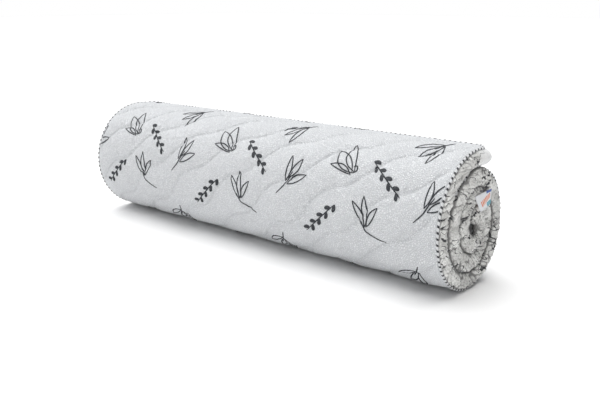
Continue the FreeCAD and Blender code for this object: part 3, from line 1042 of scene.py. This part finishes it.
def pieces_of_stroke(route, width, start, end):
    """The runs of a stroke that lie on the cloth between two lengths."""
    middle = (route[1:] + route[:-1]) / 2
    inside = (middle[:, 1] > start) & (middle[:, 1] <= end)
    inside &= np.abs(middle[:, 0]) < half_width(middle[:, 1]) - PRINT_MARGIN
    kept = np.flatnonzero(inside)
    runs = np.split(kept, np.flatnonzero(np.diff(kept) > 1) + 1)
    return [(route[run[0]:run[-1] + 2], width[run[0]:run[-1] + 2]) for run in runs if len(run)]


def ink_strip(pattern, route, width):
    """One drawn line as a thin raised strip that follows the quilting."""
    step = np.gradient(route, axis=0)
    step /= np.maximum(np.linalg.norm(step, axis=1, keepdims=True), 1e-9)
    side = np.stack([-step[:, 1], step[:, 0]], axis=-1) * width[:, None]
    share = np.linspace(1, -1, 2 if width.max() < 2 * LINE else 6)
    share = np.concatenate([share, share[::-1]])
    loop = route[:, None, :] + side[:, None, :] * share[None, :, None]
    height = quilt_relief(loop[..., 0], loop[..., 1])
    lift = np.repeat([INK_PROUD, -INK_SUNK], len(share) // 2)[None, :]
    depth = -(height + lift)
    flats = np.stack([loop[..., 0], loop[..., 1], depth], axis=-1)
    pattern.sweep(place(loop[..., 0], loop[..., 1], depth), flats, ghost=False)


def printed(chunk, strokes, start, end):
    """The print on one chunk of the cloth."""
    pattern = Pattern()
    for route, width in strokes:
        for run, run_width in pieces_of_stroke(route, width, start, end):
            ink_strip(pattern, run, run_width)
    piece = pattern.make(f"print_{chunk.name}", INK)
    chunk.fasten(piece, "quilted_cover")


# Label and zip
LABEL_LENGTH = 0.084
LABEL_HEIGHT = 0.042
LABEL_DEPTH = 0.0006
TAPE_DEPTHS = (0.010, 0.040)
TAPE_FACE = 0.0010
TAPE_THICKNESS = 0.0009
COIL_PITCH = 0.0025
COIL_WIRE = 0.00035
COIL_HALF_WIDTH = 0.0030
COIL_HALF_DEPTH = 0.00075
COIL_FACE = 0.00175


def label():
    """A folded side label, sewn into the crease between two turns, its lower edge standing out."""
    low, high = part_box("care_label")
    middle = ((low + high) / 2).yz
    along = np.linspace(0, 1, 26)[:, None]
    drop = np.linspace(0, 1, 14)[None, :]
    curl = 0.0030 * np.sin(along * math.pi * 1.3 + 0.4) * drop
    out = high.x + 0.0105 + 0.004 * along + (0.014 - 0.009 * along) * drop**1.2 + curl
    y = middle[0] - 0.019 + (along - 0.5) * LABEL_LENGTH * (1 - 0.12 * drop)
    z = middle[1] + 0.015 + 0.006 * along - drop * LABEL_HEIGHT * 0.92 + 0 * y
    face = np.stack([out + 0 * y, y, z], axis=-1)
    back = face - np.array([LABEL_DEPTH, 0.0, 0.0])
    flat = np.stack([along * LABEL_LENGTH + 0 * y, drop * LABEL_HEIGHT + 0 * y, 0 * y], axis=-1)
    pattern = Pattern()
    pattern.sweep(round_loop(face, back), round_loop(flat, flat), ghost=False)
    piece = pattern.make("side_label", LABEL_SATIN)
    ROLL.fasten(piece, "label", "care_label")


def zip_tape():
    """The woven tape on the face of the foot border."""
    low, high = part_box("zip_tape")
    across = rows_between(low.x, high.x, 0.01)
    depth = np.linspace(*TAPE_DEPTHS, 13)[None, :] + 0 * across[:, None]
    outer = -TAPE_FACE + 0 * depth
    along = round_loop(outer, outer + TAPE_THICKNESS)
    depths = round_loop(depth, depth)
    width = across[:, None] + 0 * depths
    pattern = Pattern()
    pattern.sweep(place(width, along, depths), np.stack([width, along, depths], axis=-1))
    piece = pattern.make("zip_tape_woven", TAPE)
    TIP.fasten(piece, "zip_tape", "zip_tape")


def zip_coil():
    """The two meshed rows of the zip as one flat coil."""
    low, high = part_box("zip_coil")
    turns = (high.x - low.x - 2 * COIL_WIRE) / COIL_PITCH
    angle = np.linspace(0, turns * 2 * math.pi, round(turns * 10))
    across = low.x + COIL_WIRE + angle / (2 * math.pi) * COIL_PITCH
    along = -COIL_FACE + (COIL_HALF_DEPTH - COIL_WIRE) * np.cos(angle)
    depth = THICKNESS / 2 + (COIL_HALF_WIDTH - COIL_WIRE) * np.sin(angle)
    centre = place(across, along, depth)
    forward = np.gradient(centre, axis=0)
    forward /= np.linalg.norm(forward, axis=1, keepdims=True)
    side = np.cross(forward, np.array([1.0, 0.0, 0.0]))
    side /= np.linalg.norm(side, axis=1, keepdims=True)
    other = np.cross(forward, side)
    around = np.linspace(0, 2 * math.pi, 6, endpoint=False)[None, :, None]
    ring = COIL_WIRE * (np.cos(around) * side[:, None, :] + np.sin(around) * other[:, None, :])
    points = centre[:, None, :] + ring
    pattern = Pattern()
    pattern.sweep(points, points * 1.0, ghost=False)
    piece = pattern.make("zip_coil_wound", COIL)
    TIP.fasten(piece, "zip_coil", "zip_coil")


def metal_parts():
    """The slider, its pull and the end stops keep their own solids."""
    for name in ("zip_slider", "zip_pull", "zip_stops"):
        part = frame["nodes"][name]
        part.data.materials.clear()
        part.data.materials.append(METAL)


# Putting the mattress together
def lap_pieces(strokes):
    """The six laps of the outermost half turn, each over one hinge."""
    for number, chunk in enumerate(LAPS, start=1):
        node = f"lap_{number}"
        outer_panel(chunk, chunk.name, chunk.start, chunk.end, CLOTH_STEP, [f"{node}_outer_panel"])
        inner_panel(chunk, chunk.start, chunk.end, CLOTH_STEP, [f"{node}_inner_panel"])
        foam_layers(chunk, chunk.start, chunk.end, [f"{node}_memory_foam"], [f"{node}_support_foam"])
        edges = side_edges(chunk.start, chunk.end)
        names = [f"border_left_{chunk.name}", f"border_right_{chunk.name}"]
        borders(chunk, edges, names, [[f"{node}_side_borders"], []])
        pipings(chunk, edges, [f"{node}_piping"])
        printed(chunk, strokes, chunk.start, chunk.end)


def foot_pieces(strokes):
    """The free end with its rounded corners."""
    outer_panel(TIP, TIP.name, TIP.start, TIP.end, CLOTH_STEP, [])
    inner_panel(TIP, TIP.start, TIP.end, CLOTH_STEP, [])
    foam_layers(TIP, TIP.start + 0.002, TIP.end, [], [])
    edge, outward, length = foot_edge()
    edges = [(edge, outward, length, np.ones_like(length))]
    borders(TIP, edges, ["border_foot"], [["foot_border"]])
    pipings(TIP, edges, ["foot_outer_piping", "foot_inner_piping"])
    printed(TIP, strokes, TIP.start, TIP.end)


def roll_pieces(strokes):
    """The turns that stay rolled, down to the core."""
    start, end = ROLL.start, ROLL.end
    outer_panel(ROLL, "roll", start, VISIBLE_END, CLOTH_STEP, ["outer_panel_roll"])
    outer_panel(ROLL, "core", VISIBLE_END, end, CORE_STEP, [])
    inner_panel(ROLL, start, end, CORE_STEP, ["inner_panel_roll"])
    foam_layers(ROLL, start, end - 0.004, ["memory_foam_roll"], ["support_foam_roll"])
    edges = side_edges(start, end)
    nodes = [["left_border_roll"], ["right_border_roll"]]
    borders(ROLL, edges, ["border_left_roll", "border_right_roll"], nodes)
    cords = [f"{side}_{face}_piping_roll" for side in ("left", "right") for face in ("outer", "inner")]
    pipings(ROLL, edges, [*cords, "head_piping"])
    printed(ROLL, strokes, start, VISIBLE_END)
    head_border()


STROKES = print_strokes()
lap_pieces(STROKES)
foot_pieces(STROKES)
roll_pieces(STROKES)
label()
zip_tape()
zip_coil()
metal_parts()


# Floor, light and camera
FLOOR_SIZE = 30.0
CAMERA_PLACE = (1.5525, -1.7003, 0.7446)
CAMERA_DIP = 0.2632
CAMERA_TURN = 0.7033
CAMERA_LENS = 44.3


def floor():
    """A pale floor that runs past every view."""
    mesh = bpy.data.meshes.new("floor")
    corners = [(x * FLOOR_SIZE, y * FLOOR_SIZE, 0) for x, y in ((-1, -1), (1, -1), (1, 1), (-1, 1))]
    mesh.from_pydata(corners, [], [(0, 1, 2, 3)])
    plane = bpy.data.objects.new("floor", mesh)
    bpy.context.scene.collection.objects.link(plane)
    finish = Finish("pale_floor", 0.7)
    grain = finish.noise(finish.position(), 3.0, 2.0)
    finish.colour(finish.mix(grain, (0.94, 0.94, 0.94, 1), (0.97, 0.97, 0.97, 1)))
    mesh.materials.append(finish.material)


def sun(name, from_side, energy, softness):
    """A soft overhead light from one side."""
    light = bpy.data.lights.new(name, "SUN")
    light.energy = energy
    light.angle = math.radians(softness)
    lamp = bpy.data.objects.new(name, light)
    tilt = math.atan2(math.hypot(from_side[0], from_side[1]), from_side[2])
    turn = math.atan2(from_side[1], from_side[0]) + math.pi / 2
    lamp.rotation_euler = (tilt, 0, turn)
    bpy.context.scene.collection.objects.link(lamp)


def studio():
    """A white surround that only the eye sees, and two soft lights."""
    world = bpy.data.worlds.new("studio")
    world.use_nodes = True
    background = world.node_tree.nodes["Background"]
    background.inputs["Color"].default_value = (1.0, 1.0, 1.0, 1)
    background.inputs["Strength"].default_value = 1.0
    bpy.context.scene.world = world
    world.cycles_visibility.diffuse = False
    sun("overhead", (-0.28, 0.10, 1.0), 3.9, 80)
    sun("fill", (0.25, -1.0, 0.35), 1.25, 120)
    bpy.context.scene.view_settings.view_transform = "Standard"


def camera():
    """The view from the near end, a little above the roll."""
    view = bpy.data.cameras.new("camera")
    view.lens = CAMERA_LENS
    view.sensor_width = 36.0
    view.dof.use_dof = False
    seen = bpy.data.objects.new("camera", view)
    seen.location = CAMERA_PLACE
    seen.rotation_euler = (math.pi / 2 - CAMERA_DIP, 0.0, CAMERA_TURN)
    bpy.context.scene.collection.objects.link(seen)
    bpy.context.scene.camera = seen


floor()
studio()
camera()
